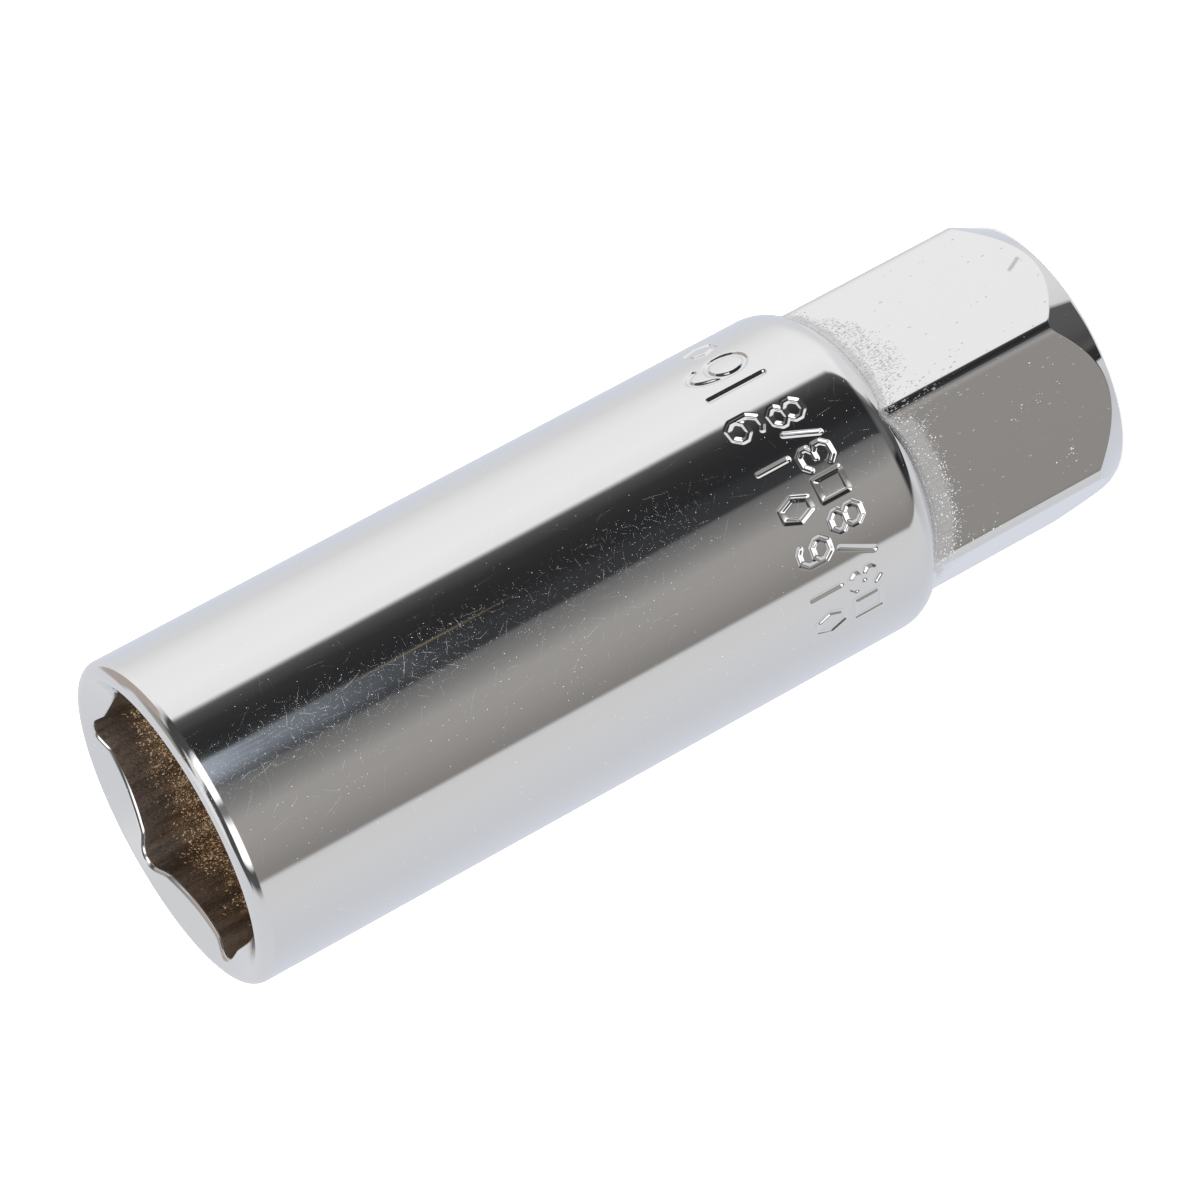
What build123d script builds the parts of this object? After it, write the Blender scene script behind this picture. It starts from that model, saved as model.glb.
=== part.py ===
from build123d import *
import math
import os

# A spark plug socket, standing on its drive end. Lengths are in millimetres, z = 0 is the drive
# end's face, and the axis runs up +Z to the mouth that goes over the plug.

# Body
overall_length = 65.2
body_diameter = 22.0
mouth_edge_radius = 0.75
shoulder_radius = 2.8

# Drive end, a hexagon for a 19 mm spanner, forged a little under size
spanner_size = 19.0
spanner_undersize = 0.3
drive_hex_length = 14.4
drive_hex_corner_radius = 1.1
drive_end_face_diameter = 18.2
drive_end_chamfer_angle = 27.5
neck_fillet_radius = 0.4

# Square hole for a 3/8 inch drive
drive_square_width = 9.6
drive_square_corner_radius = 0.4
drive_square_depth = 12.0
drive_square_lead_in = 0.6
detent_width = 3.6
detent_depth = 0.9
detent_height = 5.6
web_thickness = 2.5
web_hole_diameter = 8.0

# Mouth for the plug's 16 mm hexagon, with round notches at its corners and eased flanks. The
# side angle is that of a notch's sides to the line from the axis through its root.
plug_hex_size = 16.0
plug_hex_clearance = 0.4
notch_relief = 0.25
notch_side_angle = 48.0
notch_root_radius = 1.35
crest_radius = 1.0
flank_relief = 0.1
plug_hex_depth = 22.0
rim_width = 0.95
countersink_angle = 120.0

# Bore past the hexagon, and the groove that keeps the grip in it
bore_clearance = 0.4
bore_floor_chamfer = 0.8
groove_width = 3.0
groove_depth = 0.7
groove_height = 22.5

# Rubber grip that holds the plug by its porcelain
grip_length = 16.0
grip_clearance = 0.1
grip_hole_diameter = 10.0
grip_lead_in_diameter = 13.0
grip_lead_in_depth = 2.5
grip_foot_chamfer = 1.0

# Sizes that follow from those above
body_radius = body_diameter / 2
drive_hex_width = spanner_size - spanner_undersize
lobe_apothem = (plug_hex_size + plug_hex_clearance) / 2
notch_root_distance = plug_hex_size / 2 / math.cos(math.radians(30)) + notch_relief
bore_radius = lobe_apothem - bore_clearance
bore_floor = drive_square_depth + web_thickness
plug_hex_bottom = overall_length - plug_hex_depth
groove_low = groove_height - groove_width / 2
cut_margin = 1.0

LOW = (Align.CENTER, Align.CENTER, Align.MIN)


def at(distance, degrees):
    """A point at a distance from the axis, turned from +X."""
    angle = math.radians(degrees)
    return (distance * math.cos(angle), distance * math.sin(angle))


def barrel():
    """The turned body: a cylinder with a rounded shoulder below and an eased mouth edge above."""
    solid = Pos(0, 0, drive_hex_length) * Cylinder(body_radius, overall_length - drive_hex_length, align=LOW)
    rims = solid.edges().filter_by(GeomType.CIRCLE).sort_by(Axis.Z)
    solid = fillet(rims[0], shoulder_radius)
    rims = solid.edges().filter_by(GeomType.CIRCLE).sort_by(Axis.Z)
    return fillet(rims[-1], mouth_edge_radius)


def drive_hexagon():
    """The spanner hexagon, its corners rounded and its end turned down to the round face."""
    outline = RegularPolygon(drive_hex_width / 2, 6, major_radius=False, rotation=30)
    outline = fillet(outline.vertices(), drive_hex_corner_radius)
    height = drive_hex_length + shoulder_radius
    end_radius = drive_end_face_diameter / 2
    spread = height * math.tan(math.radians(drive_end_chamfer_angle))
    return extrude(outline, height) & Cone(end_radius, end_radius + spread, height, align=LOW)


def lobed_outline():
    """The mouth's six-point section: eased flanks, a crest at each end, a notch in each corner.

    The straight sides of a notch would meet at its tip, and its root is the arc that rounds it.
    """
    side = math.radians(notch_side_angle)
    tip_distance = notch_root_distance + notch_root_radius * (1 / math.sin(side) - 1)
    tip_x, tip_y = at(tip_distance, 30)
    crest_offset = tip_y - (tip_x - lobe_apothem) / math.tan(math.radians(60) - side)
    crest_angle = math.degrees(math.atan2(crest_offset, lobe_apothem))
    crest_distance = math.hypot(lobe_apothem, crest_offset)
    edges = []
    for flat in range(6):
        facing = 60 * flat
        first_crest = at(crest_distance, facing - crest_angle)
        last_crest = at(crest_distance, facing + crest_angle)
        next_crest = at(crest_distance, facing + 60 - crest_angle)
        notch_tip = at(tip_distance, facing + 30)
        edges += [
            ThreePointArc(first_crest, at(lobe_apothem + flank_relief, facing), last_crest),
            Line(last_crest, notch_tip),
            Line(notch_tip, next_crest),
        ]
    outline = make_face(edges)
    crest_count = 2 * 6
    tips = outline.vertices().sort_by(SortBy.DISTANCE)[crest_count:]
    outline = fillet(tips, notch_root_radius)
    crests = outline.vertices().sort_by(SortBy.DISTANCE)[:crest_count]
    return fillet(crests, crest_radius)


def plug_cavity():
    """All that is hollow above the web: countersink, lobed hexagon, bore and retaining groove."""
    run_out = notch_root_distance - bore_radius
    depth = run_out + plug_hex_depth + cut_margin
    lobes = extrude(lobed_outline(), depth) & Cone(bore_radius, bore_radius + depth, depth, align=LOW)
    lobes = Pos(0, 0, plug_hex_bottom - run_out) * lobes
    mouth_radius = body_radius - rim_width
    sink_depth = (mouth_radius - bore_radius) / math.tan(math.radians(countersink_angle / 2))
    sink = Pos(0, 0, overall_length - sink_depth) * Cone(bore_radius, mouth_radius, sink_depth, align=LOW)
    bore = Pos(0, 0, bore_floor) * Cylinder(bore_radius, plug_hex_bottom - bore_floor, align=LOW)
    bore = chamfer(bore.edges().filter_by(GeomType.CIRCLE).sort_by(Axis.Z)[0], bore_floor_chamfer)
    groove = Pos(0, 0, groove_low) * Cylinder(bore_radius + groove_depth, groove_width, align=LOW)
    return lobes + sink + bore + groove


def drive_cavity():
    """The square drive hole with its lead-in, the four ball recesses and the hole in the web."""
    square = Rectangle(drive_square_width, drive_square_width)
    square = fillet(square.vertices(), drive_square_corner_radius)
    start = drive_square_lead_in + cut_margin
    lead_in = extrude(offset(square, start), start + drive_square_corner_radius / 2, taper=45)
    hollow = Pos(0, 0, -cut_margin) * extrude(square, drive_square_depth + cut_margin)
    hollow += Pos(0, 0, -cut_margin) * lead_in
    hollow += Cylinder(web_hole_diameter / 2, bore_floor + cut_margin, align=LOW)
    inner_radius = detent_width / 2 + cut_margin
    floor_radius = detent_width / 2 - detent_depth
    drilled = Rot(0, 90, 0) * Cone(inner_radius, floor_radius, detent_depth + cut_margin, align=LOW)
    for side in range(4):
        recess = Pos(drive_square_width / 2 - cut_margin, 0, detent_height) * drilled
        hollow += Rot(0, 0, 90 * side) * recess
    return hollow


def socket_body():
    """The one-piece socket: body and drive hexagon joined by a small fillet, then hollowed.

    The body's seam is turned to lie between the middle of a flat and a corner of the hexagon.
    """
    seam_turn = 15
    turned = Rot(0, 0, seam_turn) * barrel()
    forged = drive_hexagon()
    solid = turned + forged
    solid = fillet(new_edges(turned, forged, combined=solid), neck_fillet_radius)
    return solid - (plug_cavity() + drive_cavity())


def plug_grip():
    """The rubber sleeve on the bore's floor, with a rib in the groove and a funnel to the hole."""
    radius = bore_radius - grip_clearance
    sleeve = Pos(0, 0, bore_floor) * Cylinder(radius, grip_length, align=LOW)
    foot = sleeve.edges().filter_by(GeomType.CIRCLE).sort_by(Axis.Z)[0]
    sleeve = chamfer(foot, grip_foot_chamfer)
    rib_width = groove_width - 2 * grip_clearance
    rib_radius = bore_radius + groove_depth - grip_clearance
    sleeve += Pos(0, 0, groove_low + grip_clearance) * Cylinder(rib_radius, rib_width, align=LOW)
    hole = Pos(0, 0, bore_floor) * Cylinder(grip_hole_diameter / 2, grip_length, align=LOW)
    funnel_foot = bore_floor + grip_length - grip_lead_in_depth
    funnel = Cone(grip_hole_diameter / 2, grip_lead_in_diameter / 2, grip_lead_in_depth, align=LOW)
    return sleeve - hole - Pos(0, 0, funnel_foot) * funnel


os.makedirs("parts", exist_ok=True)
for name, shape in {"socket_body": socket_body(), "plug_grip": plug_grip()}.items():
    export_step(shape, f"parts/{name}.step")
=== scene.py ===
import math

import bpy
from mathutils import Matrix, Vector


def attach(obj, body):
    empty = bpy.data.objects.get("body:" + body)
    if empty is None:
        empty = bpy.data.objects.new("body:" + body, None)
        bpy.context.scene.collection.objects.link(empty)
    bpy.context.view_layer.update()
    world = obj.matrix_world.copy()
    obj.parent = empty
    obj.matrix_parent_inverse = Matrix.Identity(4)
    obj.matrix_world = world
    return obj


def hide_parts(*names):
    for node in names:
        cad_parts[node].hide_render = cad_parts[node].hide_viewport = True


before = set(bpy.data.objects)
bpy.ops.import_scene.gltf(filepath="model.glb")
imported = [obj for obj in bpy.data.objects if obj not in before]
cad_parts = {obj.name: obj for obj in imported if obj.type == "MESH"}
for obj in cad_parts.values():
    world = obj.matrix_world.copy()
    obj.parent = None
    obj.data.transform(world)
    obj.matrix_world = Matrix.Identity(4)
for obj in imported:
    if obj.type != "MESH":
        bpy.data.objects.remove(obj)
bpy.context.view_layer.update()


# The camera stands before the marked side of the socket and looks down on it from above the
# mouth. It is rolled, so that the standing socket lies across the picture. The lens is long.
camera_place = Vector((-0.04266, -0.34462, 0.15577))
camera_right = Vector((-0.50822, -0.23100, -0.82967))
camera_up = Vector((0.85353, -0.26372, -0.44940))
camera_back = Vector((-0.11499, -0.93654, 0.33118))
camera_lens = bpy.data.cameras.new("camera")
camera_lens.sensor_width = 36.0
camera_lens.lens = 177.76
camera_lens.clip_start = 0.01
camera_lens.clip_end = 20.0
camera = bpy.data.objects.new("camera", camera_lens)
turn = Matrix((camera_right, camera_up, camera_back)).transposed().to_4x4()
camera.matrix_world = Matrix.Translation(camera_place) @ turn
bpy.context.collection.objects.link(camera)
bpy.context.scene.camera = camera
bpy.context.scene.view_settings.view_transform = "Standard"


# The floor is a wide sheet of pale card under the drive end, lit faintly from below. The polished
# plate mirrors the studio round it, not this card, so the card doesn't show in reflections.
def feed(socket, value):
    """Links a field or a socket to a node's socket, or sets it to a number or a colour."""
    if isinstance(value, Field):
        value = value.source
    if isinstance(value, bpy.types.NodeSocket):
        socket.id_data.links.new(value, socket)
    elif isinstance(value, tuple):
        socket.default_value = (*value, 1.0)
    else:
        socket.default_value = value


class Field:
    """A number worked out by Math nodes. Sums, products and so on of fields add nodes."""

    def __init__(self, tree, source):
        self.tree = tree
        self.source = source

    def math(self, operation, *others):
        node = self.tree.nodes.new("ShaderNodeMath")
        node.operation = operation
        for socket, value in zip(node.inputs, (self, *others)):
            feed(socket, value)
        return Field(self.tree, node.outputs[0])

    def __add__(self, other):
        return self.math("ADD", other)

    __radd__ = __add__

    def __sub__(self, other):
        return self.math("SUBTRACT", other)

    def __rsub__(self, other):
        return self.math("MULTIPLY", -1.0) + other

    def __mul__(self, other):
        return self.math("MULTIPLY", other)

    __rmul__ = __mul__

    def __truediv__(self, other):
        return self.math("DIVIDE", other)

    def __rtruediv__(self, other):
        return self.math("POWER", -1.0) * other

    def __abs__(self):
        return self.math("ABSOLUTE")

    def cos(self):
        return self.math("RADIANS").math("COSINE")

    def sin(self):
        return self.math("RADIANS").math("SINE")

    def root(self):
        return self.math("MAXIMUM", 0.0).math("SQRT")

    def below(self, limit):
        return self.math("LESS_THAN", limit)

    def above(self, limit):
        return self.math("GREATER_THAN", limit)

    def ramp(self, low, high):
        """0 up to low, 1 from high, and smooth between them."""
        node = self.tree.nodes.new("ShaderNodeMapRange")
        node.interpolation_type = "SMOOTHSTEP"
        feed(node.inputs[0], self)
        node.inputs[1].default_value = low
        node.inputs[2].default_value = high
        return Field(self.tree, node.outputs[0])

    def band(self, low, full, fall, end):
        """0 up to low, 1 from full to fall, and 0 again from end."""
        return self.ramp(low, full) * (1.0 - self.ramp(fall, end))

    def near(self, centre, inner, outer):
        """1 within inner of a centre, 0 from outer on, and smooth between them."""
        return 1.0 - abs(self - centre).ramp(inner, outer)

    def largest(self, *others):
        result = self
        for other in others:
            result = result.math("MAXIMUM", other)
        return result


def blend_numbers(share, first, second):
    """first where share is 0 and second where it is 1."""
    return first + share * (second - first)


def new_material(name):
    material = bpy.data.materials.new(name)
    material.use_nodes = True
    tree = material.node_tree
    return material, tree, tree.nodes["Principled BSDF"]


def mix_colors(share, first, second):
    """A Mix node of two colours, each a tuple or a socket. Its inputs 6 and 7 are for colours."""
    node = share.tree.nodes.new("ShaderNodeMix")
    node.data_type = "RGBA"
    feed(node.inputs[0], share)
    feed(node.inputs[6], first)
    feed(node.inputs[7], second)
    return node.outputs[2]


def noise_field(place, scale, detail=3.0, roughness=0.5):
    tree = place.id_data
    node = tree.nodes.new("ShaderNodeTexNoise")
    node.inputs["Scale"].default_value = scale
    node.inputs["Detail"].default_value = detail
    node.inputs["Roughness"].default_value = roughness
    feed(node.inputs["Vector"], place)
    return Field(tree, node.outputs["Fac"])


floor_half = 3.0
floor_mesh = bpy.data.meshes.new("floor")
floor_corners = [(-floor_half, -floor_half, 0), (floor_half, -floor_half, 0)]
floor_corners += [(floor_half, floor_half, 0), (-floor_half, floor_half, 0)]
floor_mesh.from_pydata(floor_corners, [], [(0, 1, 2, 3)])
floor = bpy.data.objects.new("floor", floor_mesh)
bpy.context.collection.objects.link(floor)
card, card_tree, card_shader = new_material("pale_card")
card_place = card_tree.nodes.new("ShaderNodeTexCoord").outputs["Object"]
card_grain = noise_field(card_place, 900.0)
card_color = mix_colors(card_grain, (0.86, 0.86, 0.87), (0.9, 0.9, 0.9))
feed(card_shader.inputs["Base Color"], card_color)
card_shader.inputs["Roughness"].default_value = 0.9
card_shader.inputs["Specular IOR Level"].default_value = 0.1
feed(card_shader.inputs["Emission Color"], (1.0, 1.0, 1.0))
card_shader.inputs["Emission Strength"].default_value = 0.3
floor_mesh.materials.append(card)
floor.visible_glossy = False


# A soft lamp as wide as the table hangs over the floor and lights it evenly.
lamp_data = bpy.data.lights.new("soft_lamp", "AREA")
lamp_data.shape = "SQUARE"
lamp_data.size = 4.0
lamp_data.energy = 170.0
lamp = bpy.data.objects.new("soft_lamp", lamp_data)
lamp.location = (0.0, 0.0, 2.0)
lamp.visible_glossy = False
bpy.context.collection.objects.link(lamp)


# The studio round the socket is what the plate mirrors: white walls, a grey card and the dark
# gap beside it, where the camera stands. Directions are azimuths round the socket's axis and
# elevations above the horizon, both in degrees.
world = bpy.data.worlds.new("studio")
world.use_nodes = True
bpy.context.scene.world = world
sky = world.node_tree
direction = sky.nodes.new("ShaderNodeSeparateXYZ")
feed(direction.inputs[0], sky.nodes.new("ShaderNodeTexCoord").outputs["Generated"])
east, north, rise = (Field(sky, out) for out in direction.outputs)
azimuth = north.math("ARCTAN2", east).math("DEGREES")
elevation = rise.math("ARCSINE").math("DEGREES")


def wall(stops):
    """The studio's brightness round the compass, from stops of (azimuth, brightness, warmth)."""
    node = sky.nodes.new("ShaderNodeValToRGB")
    ramp = node.color_ramp
    while len(ramp.elements) > 1:
        ramp.elements.remove(ramp.elements[-1])
    for index, (degrees, brightness, warmth) in enumerate(stops):
        place = (degrees + 180.0) / 360.0
        element = ramp.elements[0] if index == 0 else ramp.elements.new(place)
        element.position = place
        red = brightness * (1 + max(warmth, 0.4 * warmth))
        element.color = (red, brightness, brightness * (1 - warmth), 1.0)
    feed(node.inputs[0], (azimuth + 180.0) / 360.0)
    return node.outputs[0]


# A little below the horizon, as the barrel and the hexagon's flats mirror it
level_wall = wall([
    (-180, 0.72, -0.01), (-161, 0.71, 0.0), (-158.7, 0.66, 0.0), (-156.7, 0.25, 0.045),
    (-151, 0.267, 0.045), (-139, 0.32, 0.045), (-127, 0.36, 0.04), (-115, 0.362, 0.04),
    (-103, 0.238, 0.03), (-94, 0.17, 0.0), (-91.8, 0.15, 0.0), (-89.8, 0.045, -0.05),
    (-79, 0.04, -0.08), (-72, 0.026, -0.05), (-60, 0.028, -0.04), (-50, 0.038, -0.02),
    (-42, 0.08, 0.0), (-38.6, 0.12, 0.0), (-35.6, 0.93, 0.0), (-20, 0.985, 0.0), (5, 0.955, 0.0),
    (17, 0.88, 0.0), (29, 0.77, 0.0), (41, 0.75, -0.055), (53, 0.735, -0.1), (89, 0.74, -0.09),
    (120, 0.72, -0.08), (150, 0.69, -0.05), (180, 0.72, -0.01),
])
# Far below it, as the shoulder and the chamfered end do
low_wall = wall([
    (-180, 0.62, 0.0), (-162, 0.55, 0.0), (-152, 0.05, 0.0), (-118, 0.02, 0.0), (-110, 0.15, 0.0),
    (-85, 0.14, 0.0), (-60, 0.1, 0.0), (-48, 0.3, 0.0), (-42, 0.82, 0.0), (55, 0.8, -0.02),
    (65, 0.74, -0.04), (120, 0.74, -0.06), (180, 0.62, -0.03),
])
# Almost straight down
lowest_wall = wall([
    (-180, 0.72, -0.04), (-161, 0.7, -0.03), (-157.5, 0.03, -0.05), (-140, 0.035, 0.0),
    (-130, 0.1, 0.0), (-110, 0.075, 0.0), (-80, 0.1, 0.0), (-33, 0.11, 0.0), (-28, 0.76, 0.0),
    (60, 0.76, -0.03), (180, 0.72, -0.04),
])
# Above the horizon, with the two lamps that shine in the rounded edge of the mouth
high_wall = wall([
    (-180, 0.72, -0.02), (-168, 0.7, 0.0), (-159, 0.1, 0.0), (-148, 0.08, 0.0), (-140, 1.6, 0.0),
    (-118, 1.6, 0.0), (-108, 0.22, 0.0), (-101, 0.18, 0.0), (-94, 1.6, 0.0), (-70, 1.6, 0.0),
    (-61, 0.07, 0.0), (-36, 0.07, 0.0), (-31, 0.6, 0.0), (-20, 0.97, 0.0), (5, 0.955, 0.0),
    (29, 0.77, 0.0), (60, 0.74, -0.05), (180, 0.72, -0.02),
])
# High above it, as the countersink and the inner side of the edge do
top_wall = wall([
    (-180, 0.72, -0.03), (-174, 0.7, -0.03), (-166, 0.08, 0.0), (-84, 0.07, 0.0), (-78, 0.85, 0.0),
    (-58, 0.85, 0.0), (-50, 0.07, 0.0), (-30, 0.08, 0.02), (-18, 0.3, 0.06), (12, 0.36, 0.06),
    (28, 0.74, -0.02), (180, 0.72, -0.03),
])
ceiling = (0.88, 0.88, 0.885)
brown_card = (0.46, 0.4, 0.37)
window_glow = (0.47, 0.53, 0.61)
gold_thread = (0.3, 0.24, 0.12)


def lit(color):
    """A background of one colour, from a colour socket."""
    node = sky.nodes.new("ShaderNodeBackground")
    feed(node.inputs["Color"], color)
    return node.outputs[0]


def join_lit(share, first, second):
    """Two backgrounds: first where share is 0 and second where it is 1."""
    node = sky.nodes.new("ShaderNodeMixShader")
    for socket, value in zip(node.inputs, (share, first, second)):
        feed(socket, value)
    return node.outputs[0]


below = mix_colors(elevation.ramp(-74.0, -66.0), lowest_wall, low_wall)
below = mix_colors(elevation.ramp(-58.0, -46.0), below, level_wall)
glow = azimuth.band(-94.0, -78.0, -72.5, -69.5) * elevation.ramp(-17.6, -14.5)
below = mix_colors(glow, below, window_glow)
thread = azimuth.band(-72.4, -71.9, -71.6, -71.1) * elevation.band(-18.6, -17.9, -17.3, -16.8)
below = mix_colors(thread, below, gold_thread)
card_share = azimuth.band(-32.0, -24.0, 44.0, 54.0) * elevation.band(7.0, 11.0, 36.0, 48.0)
ahead = mix_colors(card_share, high_wall, brown_card)
above = mix_colors(elevation.ramp(70.0, 78.0), top_wall, ceiling)
studio = join_lit(elevation.ramp(34.0, 42.0), lit(ahead), lit(above))
studio = join_lit(elevation.ramp(-14.0, -8.0), lit(below), studio)
looked_at = Field(sky, sky.nodes.new("ShaderNodeLightPath").outputs["Is Camera Ray"])
studio = join_lit(looked_at, studio, sky.nodes["Background"].outputs[0])
feed(sky.nodes["Background"].inputs["Color"], (1.0, 1.0, 1.0))
feed(sky.nodes["World Output"].inputs["Surface"], studio)


# The socket's body is one piece of chrome vanadium steel: forged, then turned, broached and
# plated. Every row of its skin is a ring round the axis, so one tree of grids makes it all:
# end face, chamfered hexagon, shoulder, barrel, mouth, lobed hexagon, bore and square hole.
body_sizes = {
    "Overall length": 65.2,
    "Body radius": 11.0,
    "Mouth edge radius": 0.85,
    "Shoulder radius": 2.8,
    "Shoulder height": 17.2,
    "Hexagon apothem": 9.35,
    "Hexagon corner radius": 1.1,
    "Drive end radius": 9.1,
    "Neck fillet radius": 0.4,
    "Square apothem": 4.8,
    "Square corner radius": 0.4,
    "Square depth": 12.0,
    "Lead-in": 0.6,
    "Web hole radius": 4.0,
    "Bore floor": 14.5,
    "Bore radius": 7.8,
    "Bore floor chamfer": 0.8,
    "Groove radius": 8.5,
    "Groove foot": 21.0,
    "Groove top": 24.0,
    "Notch radius": 9.488,
    "Lobe depth": 22.0,
    "Countersink radius": 10.05,
    "Lobe edge radius": 0.38,
    "Mark depth": 0.1,
    "Mark half width": 0.25,
    "Number depth": 0.14,
    "Number half width": 0.28,
}
chamfer_angle = 27.5
chamfer_slope = math.tan(math.radians(chamfer_angle))
drive_edge_radius = 0.2
chamfer_edge_radius = 0.3
end_ring_width = 1.5
rim_edge_radius = 0.1
sink_tilt = 30.0
sink_slope = math.tan(math.radians(sink_tilt))
lobe_apothem = 8.2
flank_relief = 0.1
crest_radius = 1.0
notch_side_angle = 48.0
notch_root_radius = 1.35
recess_radius = 1.8
recess_depth = 0.9
recess_height = 5.6
recess_ease = 0.2
mm = 0.001


def tangent_length(radius, bend):
    """How far the rounding of an edge reaches along each of its two faces."""
    return radius * math.tan(math.radians(bend) / 2)


drive_edge_reach = tangent_length(drive_edge_radius, 90.0 - chamfer_angle)
chamfer_edge_reach = tangent_length(chamfer_edge_radius, chamfer_angle)
rim_edge_reach = tangent_length(rim_edge_radius, sink_tilt)


def turned(degrees):
    """A direction at an angle from the middle of a flat."""
    return Vector((math.cos(math.radians(degrees)), math.sin(math.radians(degrees))))


def turn_of(point):
    """The angle of a point from the middle of a flat, in degrees."""
    return math.degrees(math.atan2(point.y, point.x))


# Half a flank of the lobed outline, from its middle at 0 to the notch at 30 degrees, is a wide
# arc, the crest's arc, the notch's straight side and the arc of its root.
half_sector = 30.0
notch_side_turn = 60.0 - notch_side_angle
side_normal = turned(-notch_side_turn)
side_way = turned(90.0 - notch_side_turn)
notch_centre = turned(half_sector) * (body_sizes["Notch radius"] - notch_root_radius)
notch_side_distance = notch_centre.dot(side_normal) + notch_root_radius
side_foot = side_normal * notch_side_distance
crest_offset = side_foot.y + (lobe_apothem - side_foot.x) * side_way.y / side_way.x
flank_middle = lobe_apothem + flank_relief
flank_centre = (flank_middle ** 2 - lobe_apothem ** 2 - crest_offset ** 2) / (2 * flank_relief)
flank_radius = flank_middle - flank_centre
flank_origin = Vector((flank_centre, 0.0))

# The crest's arc touches both the notch's side and the flank's arc, which places its centre
foot_to_crest = side_normal * (notch_side_distance + crest_radius) - flank_origin
lead = foot_to_crest.dot(side_way)
centre_gap = flank_radius + crest_radius
way_length = math.sqrt(lead ** 2 - foot_to_crest.length_squared + centre_gap ** 2) - lead
to_crest = foot_to_crest + side_way * way_length
crest_place = flank_origin + to_crest
crest_centre = crest_place.length
crest_centre_turn = turn_of(crest_place)
flank_end = turn_of(flank_origin + to_crest * (flank_radius / centre_gap))
crest_end = turn_of(crest_place - side_normal * crest_radius)
notch_side_end = turn_of(notch_centre + side_normal * notch_root_radius)

# Columns of the rings: a coarse step that all of them share, and finer steps at corners
coarse_step = 1.5


def field_group(name, inputs, make):
    """A node group with one number out, worked out by make from the named numbers in."""
    group = bpy.data.node_groups.new(name, "GeometryNodeTree")
    for label in inputs:
        group.interface.new_socket(label, in_out="INPUT", socket_type="NodeSocketFloat")
    group.interface.new_socket("Value", in_out="OUTPUT", socket_type="NodeSocketFloat")
    entry = group.nodes.new("NodeGroupInput")
    leave = group.nodes.new("NodeGroupOutput")
    result = make(*(Field(group, entry.outputs[label]) for label in inputs))
    feed(leave.inputs["Value"], result)

    def use(*values):
        tree = next(value.tree for value in values if isinstance(value, Field))
        node = tree.nodes.new("GeometryNodeGroup")
        node.node_tree = group
        for socket, value in zip(node.inputs, values):
            feed(socket, value)
        return Field(tree, node.outputs[0])

    return use


def from_flat(angle, half):
    """How far an angle is from the middle of the nearest flat, in degrees."""
    return abs((angle + half).math("FLOORED_MODULO", half * 2.0) - half)


def make_polygon(angle, half, apothem, corner):
    turn = from_flat(angle, half)
    left = half - turn
    centre = (apothem - corner) / half.cos()
    flat = apothem / turn.cos()
    tip = centre * left.cos() + (corner * corner - (centre * left.sin()).math("POWER", 2.0)).root()
    edge = ((apothem - corner) * half.sin() / half.cos() / apothem).math("ARCTANGENT").math("DEGREES")
    return blend_numbers(turn.above(edge), flat, tip)


def make_lobes(angle, notch):
    """Flank, crest, notch side and notch root, each an arc or a line in polar form."""
    turn = from_flat(angle, half_sector)
    reach = turn.sin() * flank_centre
    flank = turn.cos() * flank_centre + (flank_radius ** 2 - reach * reach).root()
    swing = turn - crest_centre_turn
    reach = swing.sin() * crest_centre
    crest = swing.cos() * crest_centre - (crest_radius ** 2 - reach * reach).root()
    side = notch_side_distance / (turn + notch_side_turn).cos()
    root_centre = notch - notch_root_radius
    swing = half_sector - turn
    reach = swing.sin() * root_centre
    root = swing.cos() * root_centre + (notch_root_radius ** 2 - reach * reach).root()
    radius = blend_numbers(turn.above(flank_end), flank, crest)
    radius = blend_numbers(turn.above(crest_end), radius, side)
    return blend_numbers(turn.above(notch_side_end), radius, root)


def make_columns(column, half, coarse, fine, step):
    """The angle of a column: coarse steps from the middle of a flat, fine ones by its corner."""
    count = coarse + fine
    nudge = 0.0001
    sector = (column / (count * 2.0) + nudge).math("FLOOR")
    place = column - sector * count * 2.0
    along = count - abs(place - count)
    turn = along.math("MINIMUM", coarse) * coarse_step + (along - coarse).math("MAXIMUM", 0.0) * step
    last_half = place.above(count)
    return sector * half * 2.0 + blend_numbers(last_half, turn, half * 2.0 - turn)


polygon_radius = field_group("polygon radius", ["Angle", "Half", "Apothem", "Corner"], make_polygon)
lobe_radius = field_group("lobe radius", ["Angle", "Notch"], make_lobes)
column_angle = field_group("column angle", ["Column", "Half", "Coarse", "Fine", "Step"], make_columns)

tree = bpy.data.node_groups.new("socket body", "GeometryNodeTree")
for label, value in body_sizes.items():
    tree.interface.new_socket(label, in_out="INPUT", socket_type="NodeSocketFloat").default_value = value
for label in ("Marks", "Numbers"):
    tree.interface.new_socket(label, in_out="INPUT", socket_type="NodeSocketObject")
tree.interface.new_socket("Body", in_out="OUTPUT", socket_type="NodeSocketGeometry")
body_entry = tree.nodes.new("NodeGroupInput")
body_leave = tree.nodes.new("NodeGroupOutput")
size = {label: Field(tree, body_entry.outputs[label]) for label in body_sizes}
skin = tree.nodes.new("GeometryNodeJoinGeometry")

# Column patterns: half a side, coarse steps, fine steps and the fine step, in degrees
hexagon_columns = (30.0, 16, 12, 0.5)
mouth_columns = (30.0, 8, 24, 0.75)
square_columns = (45.0, 26, 12, 0.5)
plain_columns = (30.0, 20, 0, 1.0)


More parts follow.
